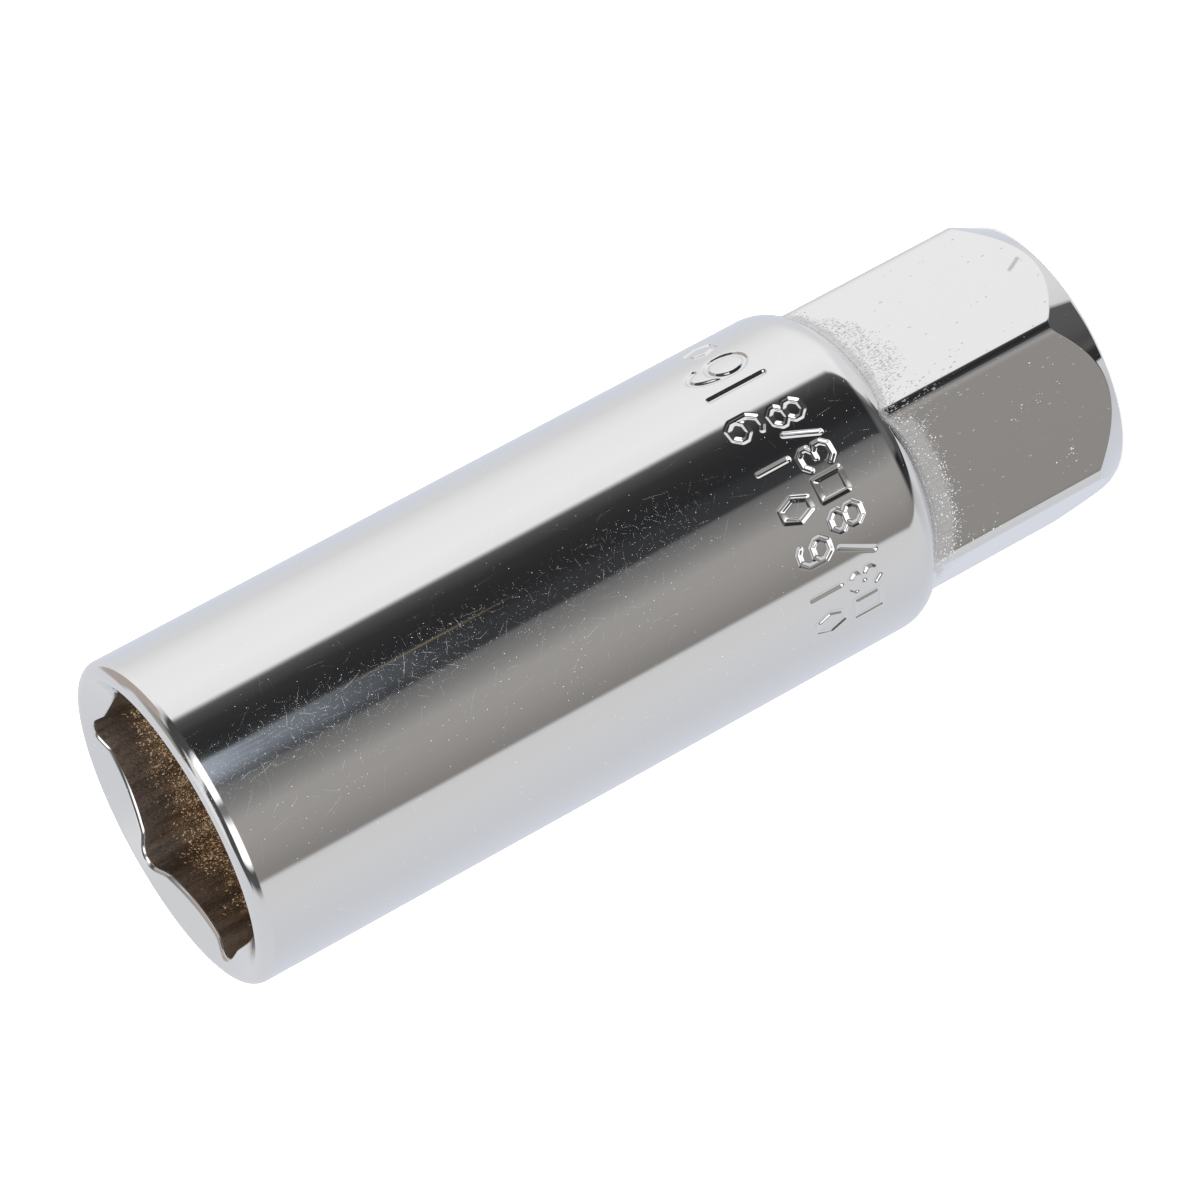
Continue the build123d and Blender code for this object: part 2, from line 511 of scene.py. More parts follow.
def grid(columns, rows):
    """A grid of points, with the numbers of its columns and of its rows as fields."""
    node = tree.nodes.new("GeometryNodeMeshGrid")
    node.inputs["Vertices X"].default_value = columns + 1
    node.inputs["Vertices Y"].default_value = rows + 1
    place = tree.nodes.new("ShaderNodeSeparateXYZ")
    feed(place.inputs[0], tree.nodes.new("GeometryNodeInputPosition").outputs[0])
    column = ((Field(tree, place.outputs[0]) + 0.5) * columns).math("ROUND")
    row = ((Field(tree, place.outputs[1]) + 0.5) * rows).math("ROUND")
    return node.outputs["Mesh"], column, row


def lay_skin(mesh, angle, radius, height, run, material):
    """Bends a grid to its rings, with its plan in millimetres as UV map, and joins it on."""
    plan = tree.nodes.new("ShaderNodeCombineXYZ")
    feed(plan.inputs[0], angle * math.radians(1.0) * size["Body radius"])
    feed(plan.inputs[1], run)
    store = tree.nodes.new("GeometryNodeStoreNamedAttribute")
    store.data_type = "FLOAT2"
    store.domain = "CORNER"
    store.inputs["Name"].default_value = "UVMap"
    feed(store.inputs["Geometry"], mesh)
    feed(store.inputs["Value"], plan.outputs[0])
    place = tree.nodes.new("ShaderNodeCombineXYZ")
    feed(place.inputs[0], radius * angle.cos() * mm)
    feed(place.inputs[1], radius * angle.sin() * mm)
    feed(place.inputs[2], height * mm)
    bend = tree.nodes.new("GeometryNodeSetPosition")
    feed(bend.inputs["Geometry"], store.outputs[0])
    feed(bend.inputs["Position"], place.outputs[0])
    paint = tree.nodes.new("GeometryNodeSetMaterial")
    paint.inputs["Material"].default_value = material
    feed(paint.inputs["Geometry"], bend.outputs[0])
    feed(skin.inputs[0], paint.outputs[0])


class Skin:
    """Lays zone after zone of rings, from the square hole's edge outwards and round again."""

    def __init__(self):
        self.run = 0.0

    def zone(self, pattern, rows, shape, length, material, ease=0.0, coarse_at=None):
        """shape gives radius and height from angle and share of the zone's rows, 0 to 1.

        ease is the share that a narrow first and last row take, so that a flat zone shades flat.
        coarse_at is the row, first or last, that keeps only the coarse columns.
        """
        half, coarse, fine, step = pattern
        columns = round(360.0 / half) * (coarse + fine)
        mesh, column, row = grid(columns, rows)
        angle = column_angle(column, half, coarse, fine, step)
        if coarse_at is not None:
            here = row.below(0.5) if coarse_at == "first" else row.above(rows - 0.5)
            angle = blend_numbers(here, angle, (angle / coarse_step).math("ROUND") * coarse_step)
        share = row / rows
        if ease:
            inner = ((row - 1.0) / (rows - 2.0)) * (1.0 - 2.0 * ease) + ease
            share = inner.math("MAXIMUM", 0.0).math("MINIMUM", 1.0)
            share = blend_numbers(row.below(0.5), share, 0.0)
            share = blend_numbers(row.above(rows - 0.5), share, 1.0)
        radius, height = shape(angle, share)
        lay_skin(mesh, angle, radius, height, share * length + self.run, material)
        self.run += length


def hexagon(angle):
    return polygon_radius(angle, 30.0, size["Hexagon apothem"], size["Hexagon corner radius"])


def square(angle):
    return polygon_radius(angle, 45.0, size["Square apothem"], size["Square corner radius"])


def lead_in_edge(angle):
    apothem = size["Square apothem"] + size["Lead-in"]
    return polygon_radius(angle, 45.0, apothem, size["Square corner radius"] + size["Lead-in"])


def lobes(angle):
    return lobe_radius(angle, size["Notch radius"])


def chamfer_top(angle):
    return (hexagon(angle) - size["Drive end radius"]) / chamfer_slope


def inner_end_face(angle, share):
    radius = blend_numbers(share, lead_in_edge(angle), size["Drive end radius"] - end_ring_width)
    return radius, share * 0.0


def outer_end_face(angle, share):
    width = end_ring_width - drive_edge_reach
    return size["Drive end radius"] - drive_edge_reach - (1.0 - share) * width, share * 0.0


def end_edge(angle, share):
    swing = share * (90.0 - chamfer_angle) - 90.0
    radius = size["Drive end radius"] - drive_edge_reach + swing.cos() * drive_edge_radius
    return radius, swing.sin() * drive_edge_radius + drive_edge_radius


def chamfer(angle, share):
    low = drive_edge_radius * (1.0 - math.sin(math.radians(chamfer_angle)))
    high = chamfer_top(angle) - chamfer_edge_reach * math.cos(math.radians(chamfer_angle))
    height = blend_numbers(share, low, high)
    return size["Drive end radius"] + height * chamfer_slope, height


def chamfer_edge(angle, share):
    swing = (share - 1.0) * chamfer_angle
    radius = hexagon(angle) - chamfer_edge_radius + swing.cos() * chamfer_edge_radius
    return radius, chamfer_top(angle) + chamfer_edge_reach + swing.sin() * chamfer_edge_radius


def neck(angle):
    """Radius and height of the neck fillet's centre, and how far it is below the shoulder's."""
    radius = hexagon(angle) + size["Neck fillet radius"]
    reach = size["Shoulder radius"] + size["Neck fillet radius"]
    out = radius - (size["Body radius"] - size["Shoulder radius"])
    drop = (reach * reach - out * out).root()
    return radius, size["Shoulder height"] - drop, (drop / reach).math("ARCSINE").math("DEGREES")


def flats(angle, share):
    low = chamfer_top(angle) + chamfer_edge_reach
    _, high, _ = neck(angle)
    return hexagon(angle), blend_numbers(share, low, high)


def neck_fillet(angle, share):
    radius, height, dip = neck(angle)
    swing = dip * share
    fillet = size["Neck fillet radius"]
    return radius - fillet * swing.cos(), height + fillet * swing.sin()


def shoulder(angle, share):
    _, _, dip = neck(angle)
    swing = dip * (1.0 - share)
    bend = size["Shoulder radius"]
    radius = size["Body radius"] - bend + bend * swing.cos()
    return radius, size["Shoulder height"] - bend * swing.sin()


def barrel(low, high):
    """The body's side between two heights, each a number or a field."""
    def shape(angle, share):
        return size["Body radius"], blend_numbers(share, low, high)
    return shape


def mouth_edge(angle, share):
    """Rounded 0.1 mm more than the solid's edge, so that its shine is as broad as the photo's."""
    bend = size["Mouth edge radius"]
    swing = share * 90.0
    radius = size["Body radius"] - bend + bend * swing.cos()
    return radius, size["Overall length"] - bend + bend * swing.sin()


def rim(angle, share):
    outer = size["Body radius"] - size["Mouth edge radius"]
    inner = size["Countersink radius"] + rim_edge_reach
    return blend_numbers(share, outer, inner), size["Overall length"]


def rim_edge(angle, share):
    swing = share * sink_tilt
    radius = size["Countersink radius"] + rim_edge_reach - swing.sin() * rim_edge_radius
    return radius, size["Overall length"] - rim_edge_radius + swing.cos() * rim_edge_radius


def sink_height(radius):
    return size["Overall length"] - (size["Countersink radius"] - radius) * sink_slope


def countersink(angle, share):
    eased = size["Lobe edge radius"] * (1.0 - math.cos(math.radians(90.0 - sink_tilt)))
    outer = size["Countersink radius"] - rim_edge_reach * math.cos(math.radians(sink_tilt))
    radius = blend_numbers(share, outer, lobes(angle) + eased)
    return radius, sink_height(radius)


def lobe_wall_top(angle):
    return sink_height(lobes(angle)) - tangent_length(size["Lobe edge radius"], 90.0 - sink_tilt)


def lobe_edge(angle, share):
    bend = size["Lobe edge radius"]
    swing = (1.0 - share) * (90.0 - sink_tilt)
    return lobes(angle) + bend - bend * swing.cos(), lobe_wall_top(angle) + bend * swing.sin()


lobe_bottom = size["Overall length"] - size["Lobe depth"]
run_out_foot = lobe_bottom - size["Notch radius"] + size["Bore radius"]


def lobe_foot(angle):
    return lobe_bottom - size["Notch radius"] + lobes(angle)


def lobe_wall(angle, share):
    return lobes(angle), blend_numbers(share, lobe_wall_top(angle), lobe_foot(angle))


def run_out(angle, share):
    radius = blend_numbers(share, lobes(angle), size["Bore radius"])
    return radius, blend_numbers(share, lobe_foot(angle), run_out_foot)


def bore(first, last):
    """The bore's wall between two heights."""
    def shape(angle, share):
        return size["Bore radius"], blend_numbers(share, first, last)
    return shape


def ledge(first, last, height):
    """A flat ring from one radius to another."""
    def shape(angle, share):
        return blend_numbers(share, first, last), height
    return shape


def groove_wall(angle, share):
    return size["Groove radius"], blend_numbers(share, size["Groove top"], size["Groove foot"])


def floor_chamfer(angle, share):
    cut = size["Bore floor chamfer"]
    return size["Bore radius"] - cut * share, size["Bore floor"] + cut * (1.0 - share)


def web_hole(angle, share):
    return size["Web hole radius"], blend_numbers(share, size["Bore floor"], size["Square depth"])


def web_underside(angle, share):
    return blend_numbers(share, size["Web hole radius"], square(angle)), size["Square depth"]


def square_wall(first, last):
    """The square hole's wall between two heights, with the drilled recess in each side.

    The recess is a shallow bowl whose edge and bottom are eased.
    """
    def shape(angle, share):
        height = blend_numbers(share, first, last)
        turn = from_flat(angle, 45.0)
        across = size["Square apothem"] * turn.sin() / turn.cos()
        rest = height - recess_height
        inwards = recess_radius - (across * across + rest * rest).root()
        depth = inwards.ramp(-recess_ease, recess_depth + recess_ease) * recess_depth
        return square(angle) + depth / turn.cos(), height
    return shape


def lead_in(angle, share):
    return blend_numbers(share, square(angle), lead_in_edge(angle)), (1.0 - share) * size["Lead-in"]


chrome, chrome_tree, chrome_shader = new_material("chrome_plate")
bore_steel, bore_tree, bore_shader = new_material("bore_steel")

band_foot = 19.5
band_top = 25.5
barrel_top = 60.0
coarse_row = 1.0
laying = Skin()

# A zone's arguments are its columns, number of rows, shape, rough length in millimetres and
# material, then ease and coarse_at.
laying.zone(square_columns, 1, inner_end_face, 1.2, chrome, coarse_at="last")
laying.zone(hexagon_columns, 3, outer_end_face, 1.4, chrome, ease=0.05, coarse_at="first")
laying.zone(hexagon_columns, 3, end_edge, 0.25, chrome)
laying.zone(hexagon_columns, 6, chamfer, 1.5, chrome, ease=0.03)
laying.zone(hexagon_columns, 3, chamfer_edge, 0.15, chrome)
flats_run = laying.run
laying.zone(hexagon_columns, 7, flats, 12.0, chrome, ease=0.005)
laying.zone(hexagon_columns, 8, neck_fillet, 0.4, chrome)
shoulder_run = laying.run
laying.zone(hexagon_columns, 12, shoulder, 2.6, chrome)
barrel_foot = barrel(size["Shoulder height"], band_foot)
laying.zone(hexagon_columns, 3, barrel_foot, 2.3, chrome, 0.02, "last")

# The band from band_foot to band_top carries the marks and is laid after the other zones
marks_run = laying.run
laying.run += band_top - band_foot
laying.zone(plain_columns, 4, barrel(band_top, barrel_top), barrel_top - band_top, chrome)
mouth_edge_foot = size["Overall length"] - size["Mouth edge radius"]
laying.zone(mouth_columns, 3, barrel(barrel_top, mouth_edge_foot), 4.45, chrome, 0.01, "first")
laying.zone(mouth_columns, 9, mouth_edge, 1.2, chrome)
laying.zone(mouth_columns, 1, rim, 0.2, chrome)
laying.zone(mouth_columns, 2, rim_edge, 0.1, chrome)
laying.zone(mouth_columns, 6, countersink, 1.6, chrome, ease=0.03)
laying.zone(mouth_columns, 6, lobe_edge, 0.3, chrome)
laying.zone(mouth_columns, 8, lobe_wall, 21.0, bore_steel, ease=0.003)
laying.zone(mouth_columns, 3, run_out, 1.0, bore_steel, coarse_at="last")
laying.zone(plain_columns, 3, bore(run_out_foot, size["Groove top"]), 17.7, bore_steel)
upper_ledge = ledge(size["Bore radius"], size["Groove radius"], size["Groove top"])
lower_ledge = ledge(size["Groove radius"], size["Bore radius"], size["Groove foot"])
laying.zone(plain_columns, 1, upper_ledge, 0.7, bore_steel)
laying.zone(plain_columns, 1, groove_wall, 3.0, bore_steel)
laying.zone(plain_columns, 1, lower_ledge, 0.7, bore_steel)
floor_chamfer_top = size["Bore floor"] + size["Bore floor chamfer"]
laying.zone(plain_columns, 2, bore(size["Groove foot"], floor_chamfer_top), 5.7, bore_steel)
laying.zone(plain_columns, 1, floor_chamfer, 1.1, bore_steel)
floor_rim = size["Bore radius"] - size["Bore floor chamfer"]
web_top = ledge(floor_rim, size["Web hole radius"], size["Bore floor"])
laying.zone(plain_columns, 2, web_top, 3.0, bore_steel)
laying.zone(plain_columns, 1, web_hole, 2.5, bore_steel)
laying.zone(square_columns, 2, web_underside, 1.5, chrome, coarse_at="first")
recess_reach = recess_radius + 0.25
recess_top = recess_height + recess_reach
recess_foot = recess_height - recess_reach
laying.zone(square_columns, 1, square_wall(size["Square depth"], recess_top), 4.35, chrome)
laying.zone(square_columns, 36, square_wall(recess_top, recess_foot), 4.1, chrome)
laying.zone(square_columns, 1, square_wall(recess_foot, size["Lead-in"]), 2.95, chrome)
laying.zone(square_columns, 2, lead_in, 0.85, chrome)


# The marks are struck into the barrel before plating: a hexagon sign with the plug's and the
# spanner's size, a square sign with the drive's, and the size again in larger figures.
# Their patch of the skin is finer: it splits each coarse column and each coarse row.
marks_start = -153.0
marks_end = -18.0
marks_split = 5
rows_split = 17
mark_shapes = {
    "1": [[(0.5, 0), (0.5, 1)]],
    "3": [
        [(0, 0.84), (0.25, 1), (0.75, 1), (1, 0.82), (1, 0.66), (0.72, 0.53), (0.4, 0.53)],
        [(0.72, 0.53), (1, 0.38), (1, 0.18), (0.75, 0), (0.25, 0), (0, 0.16)],
    ],
    "6": [
        [(0.95, 0.9), (0.72, 1), (0.3, 1), (0, 0.76), (0, 0.22), (0.27, 0), (0.73, 0), (1, 0.2)],
        [(1, 0.2), (1, 0.36), (0.75, 0.54), (0.27, 0.54), (0, 0.38)],
    ],
    "8": [
        [(0.27, 0.53), (0, 0.7), (0, 0.82), (0.27, 1), (0.73, 1), (1, 0.82), (1, 0.7), (0.73, 0.53)],
        [(0.73, 0.53), (0.27, 0.53), (0, 0.37), (0, 0.18), (0.27, 0), (0.73, 0), (1, 0.18), (1, 0.37)],
        [(1, 0.37), (0.73, 0.53)],
    ],
    "9": [
        [(0.05, 0.1), (0.28, 0), (0.7, 0), (1, 0.24), (1, 0.78), (0.73, 1), (0.27, 1), (0, 0.8)],
        [(0, 0.8), (0, 0.64), (0.25, 0.46), (0.73, 0.46), (1, 0.62)],
    ],
    "slash": [[(0.1, 0), (0.9, 1)]],
    "hexagon": [
        [(0.27, 0.04), (0.73, 0.04), (1, 0.5), (0.73, 0.96), (0.27, 0.96), (0, 0.5), (0.27, 0.04)],
    ],
    "square": [[(0, 0.06), (1, 0.06), (1, 0.94), (0, 0.94), (0, 0.06)]],
}
upper_row = (22.75, 24.9)
lower_row = (19.95, 22.1)
marks = [
    ("hexagon", -149.8, -142.0, upper_row), ("1", -136.0, -131.0, upper_row),
    ("6", -122.4, -115.0, upper_row), ("hexagon", -107.3, -99.4, upper_row),
    ("1", -90.4, -85.4, upper_row), ("9", -75.6, -68.0, upper_row),
    ("square", -150.0, -142.8, lower_row), ("3", -139.0, -132.0, lower_row),
    ("slash", -128.2, -120.6, lower_row), ("8", -116.4, -109.6, lower_row),
    ("square", -105.2, -97.8, lower_row), ("3", -94.6, -87.6, lower_row),
    ("slash", -85.6, -79.6, lower_row), ("8", -77.2, -70.2, lower_row),
]


def stroke_mesh(name, lines):
    """Lines of (angle, height) points, cut short enough to follow the barrel, as loose edges."""
    radius = body_sizes["Body radius"] * mm
    points = []
    edges = []
    for line in lines:
        for (a0, z0), (a1, z1) in zip(line, line[1:]):
            count = max(1, math.ceil(abs(a1 - a0) / coarse_step))
            for step in range(count + 1):
                share = step / count
                angle = math.radians(a0 + (a1 - a0) * share)
                height = (z0 + (z1 - z0) * share) * mm
                points.append((radius * math.cos(angle), radius * math.sin(angle), height))
                if step:
                    edges.append((len(points) - 2, len(points) - 1))
    mesh = bpy.data.meshes.new(name)
    mesh.from_pydata(points, edges, [])
    strokes = bpy.data.objects.new(name, mesh)
    bpy.context.collection.objects.link(strokes)
    return strokes


mark_lines = []
for sign, start, end, (foot, top) in marks:
    for line in mark_shapes[sign]:
        mark_lines.append([(start + (end - start) * x, foot + (top - foot) * y) for x, y in line])


def oval(angle, half_width, height, half_height, turns):
    """Points of an oval round (angle, height), at some turns in degrees."""
    cosines = [math.cos(math.radians(turn)) for turn in turns]
    sines = [math.sin(math.radians(turn)) for turn in turns]
    return [(angle + half_width * c, height + half_height * s) for c, s in zip(cosines, sines)]


number_one_angle = -56.0
number_foot = 20.35
number_top = 24.4
number_six_angle = -44.2
six_half_width = 5.5
unit_sign_angle = -28.0
one = [(number_one_angle, number_foot), (number_one_angle, number_top)]
bowl = oval(number_six_angle, six_half_width, 21.68, 1.3, range(-180, 181, 15))
hook = oval(number_six_angle, six_half_width, 22.0, 2.4, range(180, 39, -10))
unit_sign = oval(unit_sign_angle, 4.6, 21.7, 1.0, range(0, 361, 60))
number_lines = [one, bowl, hook, unit_sign]
mark_strokes = stroke_mesh("mark_strokes", mark_lines)
number_strokes = stroke_mesh("number_strokes", number_lines)


def dent(place, source, half_width, depth):
    """How deep a stroke's blunt groove is at a place, from its distance to the nearest stroke."""
    strokes = tree.nodes.new("GeometryNodeObjectInfo")
    feed(strokes.inputs["Object"], body_entry.outputs[source])
    nearest = tree.nodes.new("GeometryNodeProximity")
    nearest.target_element = "EDGES"
    feed(nearest.inputs[0], strokes.outputs["Geometry"])
    feed(nearest.inputs["Sample Position"], place)
    share = (Field(tree, nearest.outputs["Distance"]) / mm / size[half_width]).math("MINIMUM", 1.0)
    fall = 1.0 - share * share
    return fall * fall * size[depth]


span = round((marks_end - marks_start) / coarse_step)
coarse_rows = round((band_top - band_foot) / coarse_row)
patch, column, row = grid(span * marks_split, coarse_rows * rows_split)
side = column.below(0.5) + column.above(span * marks_split - 0.5)
foot_or_top = row.below(0.5) + row.above(coarse_rows * rows_split - 0.5)
column = blend_numbers(foot_or_top, column, (column / marks_split).math("ROUND") * marks_split)
row = blend_numbers(side, row, (row / rows_split).math("ROUND") * rows_split)
patch_angle = column * (coarse_step / marks_split) + marks_start
patch_rise = row * (coarse_row / rows_split)
unstruck = tree.nodes.new("ShaderNodeCombineXYZ")
feed(unstruck.inputs[0], patch_angle.cos() * size["Body radius"] * mm)
feed(unstruck.inputs[1], patch_angle.sin() * size["Body radius"] * mm)
feed(unstruck.inputs[2], (patch_rise + band_foot) * mm)
mark_dent = dent(unstruck.outputs[0], "Marks", "Mark half width", "Mark depth")
number_dent = dent(unstruck.outputs[0], "Numbers", "Number half width", "Number depth")
struck = mark_dent.largest(number_dent)
lay_skin(patch, patch_angle, size["Body radius"] - struck, patch_rise + band_foot,
         patch_rise + marks_run, chrome)
rest_columns = round(360.0 / coarse_step) - span
band, column, row = grid(rest_columns, coarse_rows)
band_angle = column * coarse_step + marks_end
lay_skin(band, band_angle, size["Body radius"], row * coarse_row + band_foot,
         row * coarse_row + marks_run, chrome)

weld_distance = 2e-6
weld = tree.nodes.new("GeometryNodeMergeByDistance")
weld.inputs["Distance"].default_value = weld_distance
feed(weld.inputs["Geometry"], skin.outputs[0])
crease = tree.nodes.new("GeometryNodeInputMeshEdgeAngle")
shade = tree.nodes.new("GeometryNodeSetShadeSmooth")
shade.domain = "EDGE"
crease_limit = math.radians(32.0)
soft = Field(tree, crease.outputs["Unsigned Angle"]).below(crease_limit)
feed(shade.inputs["Geometry"], weld.outputs[0])
feed(shade.inputs["Shade Smooth"], soft)
round_off = tree.nodes.new("GeometryNodeSetShadeSmooth")
round_off.domain = "FACE"
feed(round_off.inputs["Geometry"], shade.outputs[0])
feed(body_leave.inputs["Body"], round_off.outputs[0])

blank = bpy.data.meshes.new("body_blank")
blank.from_pydata([(0.0, 0.0, 0.0)], [], [])
shaper = bpy.data.objects.new("body_shaper", blank)
bpy.context.collection.objects.link(shaper)
modifier = shaper.modifiers.new("socket body", "NODES")
modifier.node_group = tree
inputs = {item.name: item.identifier for item in tree.interface.items_tree if item.in_out == "INPUT"}
for label, value in body_sizes.items():
    modifier[inputs[label]] = value
modifier[inputs["Marks"]] = mark_strokes
modifier[inputs["Numbers"]] = number_strokes
shaped = shaper.evaluated_get(bpy.context.evaluated_depsgraph_get())
body_mesh = bpy.data.meshes.new_from_object(shaped)
body_mesh.name = "body"
body = bpy.data.objects.new("body", body_mesh)
bpy.context.collection.objects.link(body)
for helper in (shaper, mark_strokes, number_strokes):
    bpy.data.objects.remove(helper)
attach(body, "root")
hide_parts("socket_body")


# The plate is bright and smooth, with hair scratches and specks from handling. Pits and a
# frosted strip from the forging show through it round the neck of the hexagon.
def vector_math(operation, vector):
    node = vector.id_data.nodes.new("ShaderNodeVectorMath")
    node.operation = operation
    feed(node.inputs[0], vector)
    return node.outputs["Vector"]


def parts_of(vector):
    tree = vector.id_data
    node = tree.nodes.new("ShaderNodeSeparateXYZ")
    feed(node.inputs[0], vector)
    return [Field(tree, out) for out in node.outputs]


def mapped(vector, scale, turn=0.0):
    node = vector.id_data.nodes.new("ShaderNodeMapping")
    node.inputs["Scale"].default_value = scale
    node.inputs["Rotation"].default_value = (0.0, 0.0, math.radians(turn))
    feed(node.inputs["Vector"], vector)
    return node.outputs[0]


def hairs(plan, cell, turn, lean, spread, width, share):
    """Hair scratches on a plan in millimetres, one at most in each square cell of a turned grid.

    They lean at lean from the ring's direction, give or take half of spread, in degrees.
    """
    laid = mapped(plan, (1.0 / cell, 1.0 / cell, 1.0), turn)
    x, y, _ = parts_of(vector_math("FRACTION", laid))
    chance = plan.id_data.nodes.new("ShaderNodeTexWhiteNoise")
    feed(chance.inputs["Vector"], vector_math("FLOOR", laid))
    lean_chance, bend_chance, share_chance = parts_of(chance.outputs["Color"])
    angle = (lean_chance - 0.5) * spread + (lean + turn)
    x = x - 0.5
    y = y - 0.5
    along = x * angle.cos() + y * angle.sin()
    across = y * angle.cos() - x * angle.sin() + (along * along - 0.1) * (bend_chance - 0.5) * 0.5
    line = across.near(0.0, 0.3 * width / cell, width / cell)
    depth = 1.0 - share_chance * (0.7 / share)
    return line * along.near(0.0, 0.15, 0.46) * share_chance.below(share) * depth


def specks(plan, cell, reach, share, stretch=1.0):
    """Round specks on a plan in millimetres, in a share of the cells of an irregular net."""
    tree = plan.id_data
    node = tree.nodes.new("ShaderNodeTexVoronoi")
    node.voronoi_dimensions = "2D"
    node.inputs["Scale"].default_value = 1.0
    feed(node.inputs["Vector"], mapped(plan, (1.0 / cell, 1.0 / cell / stretch, 1.0)))
    chance, reach_chance, _ = parts_of(node.outputs["Color"])
    edge = (reach_chance * 0.7 + 0.3) * reach / cell
    spot = (edge / Field(tree, node.outputs["Distance"]) - 1.0).ramp(0.0, 0.8) * chance.below(share)
    return spot * (reach_chance * 0.7 + 0.3)


def set_relief(shader, relief):
    """Raises the surface by relief, in metres, for the shader alone."""
    bump = relief.tree.nodes.new("ShaderNodeBump")
    bump.inputs["Distance"].default_value = 1.0
    feed(bump.inputs["Height"], relief)
    feed(shader.inputs["Normal"], bump.outputs[0])


chrome_coords = chrome_tree.nodes.new("ShaderNodeTexCoord")
plan = chrome_coords.outputs["UV"]
place = chrome_coords.outputs["Object"]
x, y, z = (part / mm for part in parts_of(place))
radius = (x * x + y * y).root()
angle = y.math("ARCTAN2", x).math("DEGREES")

# Scratches and specks lie in patches, thickest by the corner's side and along one rubbed line
rubbed_angle = -89.0
thick_angle = -96.0
hexagon_top = 17.0
handling = noise_field(plan, 0.16, 2.0).ramp(0.36, 0.58)
rubbed = angle.near(rubbed_angle, 5.0, 12.0) * z.ramp(26.0, 34.0) * (handling * 0.5 + 0.5)
thick_side = 1.0 - abs(angle - thick_angle).ramp(8.0, 32.0) * 0.8
dense = (handling * thick_side * z.above(hexagon_top) * 0.7).largest(rubbed)
long_hairs = hairs(plan, cell=2.4, turn=-35.0, lean=116.0, spread=100.0, width=0.016, share=0.75)
short_hairs = hairs(plan, cell=1.2, turn=10.0, lean=116.0, spread=140.0, width=0.015, share=0.75)
rubbed_hairs = hairs(plan, cell=0.6, turn=40.0, lean=60.0, spread=170.0, width=0.013, share=0.85)
hair = (long_hairs * (dense * 0.8 + 0.15)).largest(short_hairs * dense, rubbed_hairs * rubbed)
loose_specks = specks(plan, cell=0.5, reach=0.034, share=0.06 + dense * 0.5)
rubbed_specks = specks(plan, cell=0.16, reach=0.028, share=rubbed * 0.4) * 0.5

# Heights on the flats are counted down from where the neck's fillet meets them
neck_reach = body_sizes["Shoulder radius"] + body_sizes["Neck fillet radius"]
neck_start = body_sizes["Body radius"] - neck_reach
neck_drop = (neck_reach ** 2 - (radius - neck_start) * (radius - neck_start)).root()
below_neck = body_sizes["Shoulder height"] - neck_drop - z
run = parts_of(plan)[1]
on_flats = run.above(flats_run) * run.below(shoulder_run)
lump = noise_field(place, 320.0, 2.0)
streaks = noise_field(mapped(plan, (5.0, 0.5, 1.0)), 1.0, 3.0)
grey_side = angle.band(-152.0, -148.0, -96.0, -91.0)

# Pits: a patch below the neck on the upper flat, a row by the corner, and a few strays
corner_angle = -90.0
patch_angle = -66.0
pit_reach = lump.ramp(0.3, 0.7) * 1.5 + 0.8 + angle.near(patch_angle, 3.0, 22.0) * 1.7
pit_share = (1.0 - (below_neck / pit_reach).ramp(0.5, 1.0)) * (1.0 - grey_side) * 0.9
by_corner = angle.near(corner_angle, 2.0, 11.0) * (1.0 - below_neck.ramp(1.0, 7.0))
pit_share = (pit_share + by_corner * 0.3 + lump.ramp(0.63, 0.7) * 0.1 + 0.008) * on_flats
small_pits = specks(plan, cell=0.1, reach=0.05, share=pit_share, stretch=2.8)
large_pits = specks(plan, cell=0.24, reach=0.075, share=pit_share * 0.6, stretch=2.0)

# The nick is a slanting dent near the end of the upper flat
upper_flat_angle = -60.0
nick_place = (0.25, 1.65)
nick_slant = 61.7
cos_upper = math.cos(math.radians(upper_flat_angle))
sin_upper = math.sin(math.radians(upper_flat_angle))
nick_x = y * cos_upper - x * sin_upper - nick_place[0]
nick_z = z - nick_place[1]
cos_slant = math.cos(math.radians(nick_slant))
sin_slant = math.sin(math.radians(nick_slant))
along = nick_x * cos_slant - nick_z * sin_slant
across = nick_x * sin_slant + nick_z * cos_slant + (streaks - 0.5) * 0.25
nick = along.near(0.0, 0.55, 0.85) * across.near(0.0, 0.06, 0.22)
on_upper_flat = (x * cos_upper + y * sin_upper).above(body_sizes["Hexagon apothem"] - 0.15)
pits = small_pits.largest(large_pits, nick * on_upper_flat * on_flats)

# Bright flakes and frost on the grey side's flat, close under the neck
flake_line = (below_neck - lump * 1.3).near(0.75, 0.08, 0.42)
flake_share = flake_line * streaks.ramp(0.4, 0.58) + (1.0 - below_neck.ramp(1.2, 2.2)) * 0.2
flake_share = (flake_share + lump.ramp(0.57, 0.66) * 0.22) * grey_side * on_flats
flakes = specks(plan, cell=0.11, reach=0.056, share=flake_share, stretch=1.5) * 0.9
frost_strip = (1.0 - (below_neck + streaks * 1.2).ramp(1.5, 2.4)) * grey_side
frost = on_flats * frost_strip.largest(1.0 - below_neck.ramp(0.1, 0.65))

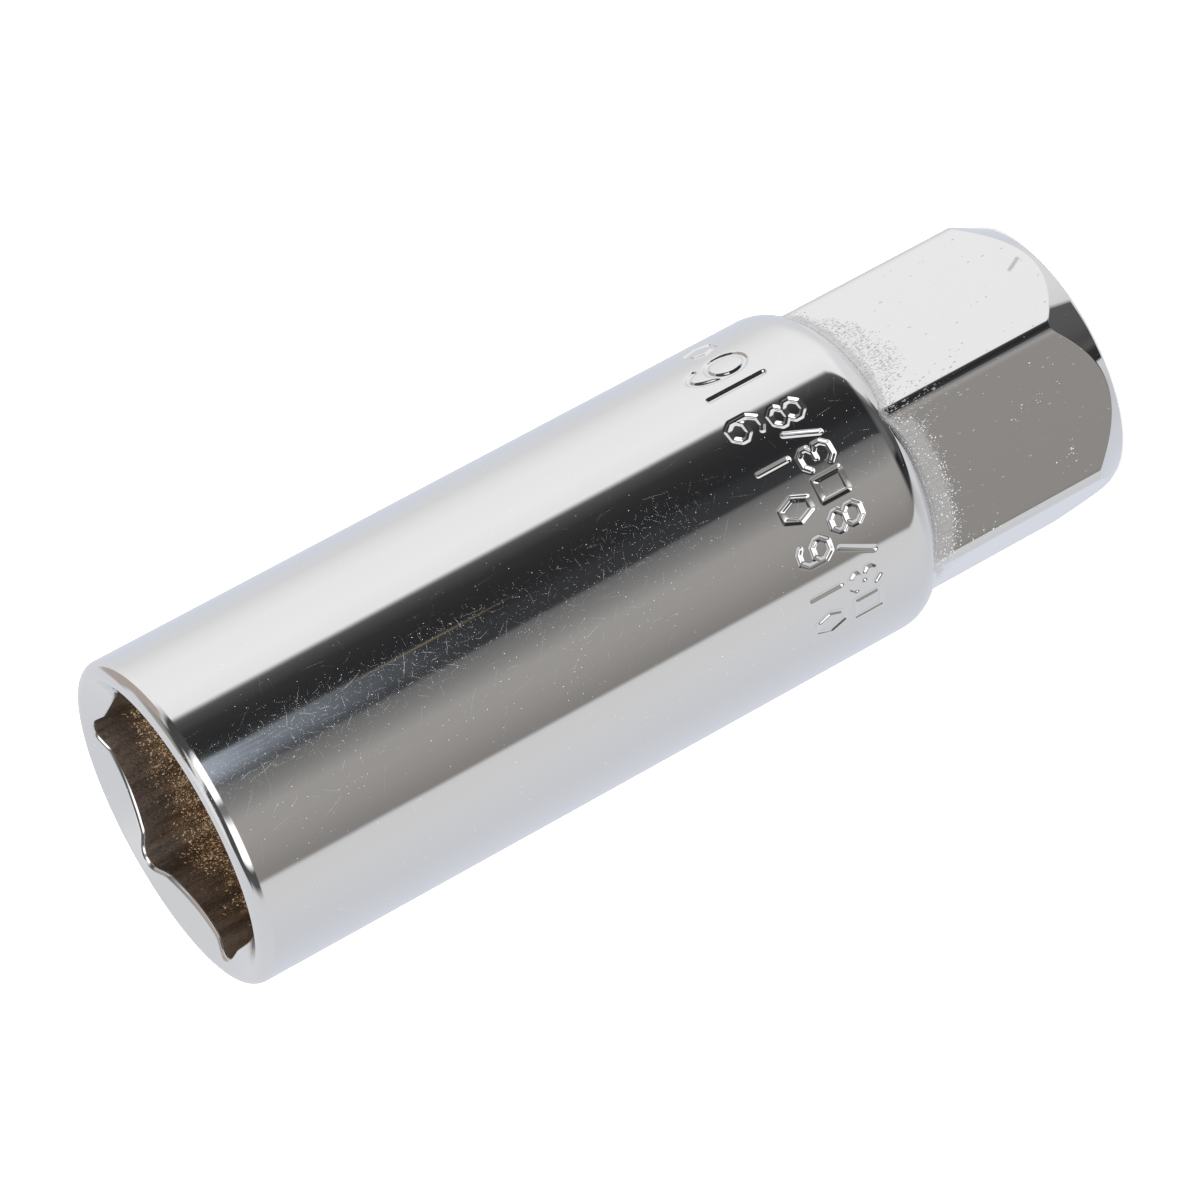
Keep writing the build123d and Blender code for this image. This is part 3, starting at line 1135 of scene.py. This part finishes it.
sink_floor = 64.19
in_sink = z.above(sink_floor) * radius.below(body_sizes["Countersink radius"] + 0.05)
polish = z.ramp(45.0, 64.0) * 0.04 + 0.022
handled = hair * 0.26 + dense * 0.02 + rubbed * 0.03 + polish
rough = handled.largest(pits * 0.5, frost * (streaks * 0.4 + 0.22), in_sink * 0.16)
feed(chrome_shader.inputs["Roughness"], rough)
dust = loose_specks.largest(rubbed_specks, hair * 0.25, flakes)
feed(chrome_shader.inputs["Metallic"], 1.0 - dust)
plate_color = (0.82, 0.82, 0.825)
dust_color = (0.6, 0.6, 0.59)
plate = mix_colors(dust, plate_color, dust_color)
feed(chrome_shader.inputs["Base Color"], plate)
wobble_height = 4e-6
pit_depth = 8e-6
wobble = noise_field(place, 240.0, 1.0)
set_relief(chrome_shader, wobble * wobble_height - pits * pit_depth)


# Past the mouth the plating is thin and has gone brown, with the broach's lines along it and
# gold flakes of bare metal deeper in.
bore_coords = bore_tree.nodes.new("ShaderNodeTexCoord")
bore_plan = bore_coords.outputs["UV"]
depth = body_sizes["Overall length"] - parts_of(bore_coords.outputs["Object"])[2] / mm
lines = noise_field(mapped(bore_plan, (1.1, 0.12, 1.0)), 1.0, 4.0, 0.6)
stain = noise_field(bore_plan, 0.45, 3.0)
grain = noise_field(bore_plan, 4.0, 3.0, 0.7)
mottle = (lines * 0.65 + stain * 0.2 + grain * 0.15).ramp(0.4, 0.6)
gilt = (depth + stain * 5.0).ramp(4.4, 7.2)
spark = specks(bore_plan, cell=0.12, reach=0.095, share=gilt * 0.85, stretch=1.2)
spark = spark * grain.ramp(0.4, 0.55)
dark_brown = (0.23, 0.195, 0.17)
pale_brown = (0.42, 0.355, 0.31)
dark_gold = (0.33, 0.245, 0.17)
pale_gold = (0.68, 0.53, 0.38)
spark_gold = (0.95, 0.71, 0.44)
drab = mix_colors(mottle, dark_brown, pale_brown)
warm = mix_colors(mottle, dark_gold, pale_gold)
steel = mix_colors(spark, mix_colors(gilt, drab, warm), spark_gold)
feed(bore_shader.inputs["Base Color"], steel)
feed(bore_shader.inputs["Metallic"], 1.0 - spark * 0.7)
feed(bore_shader.inputs["Roughness"], 0.3 + grain * 0.3)
line_height = 1.5e-5
grain_height = 1.5e-5
set_relief(bore_shader, lines * line_height + grain * grain_height)


# The grip is a moulded sleeve of black rubber, pressed down to the bore's floor, where its rib
# snaps into the groove. It holds the plug by its porcelain, and its solid is right as it is.
rubber, rubber_tree, rubber_shader = new_material("grip_rubber")
rubber_place = rubber_tree.nodes.new("ShaderNodeTexCoord").outputs["Object"]
rubber_grain = noise_field(rubber_place, 2500.0)
rubber_color = mix_colors(rubber_grain, (0.02, 0.02, 0.022), (0.05, 0.05, 0.052))
feed(rubber_shader.inputs["Base Color"], rubber_color)
rubber_shader.inputs["Roughness"].default_value = 0.75
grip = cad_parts["plug_grip"]
grip.material_slots[0].material = rubber
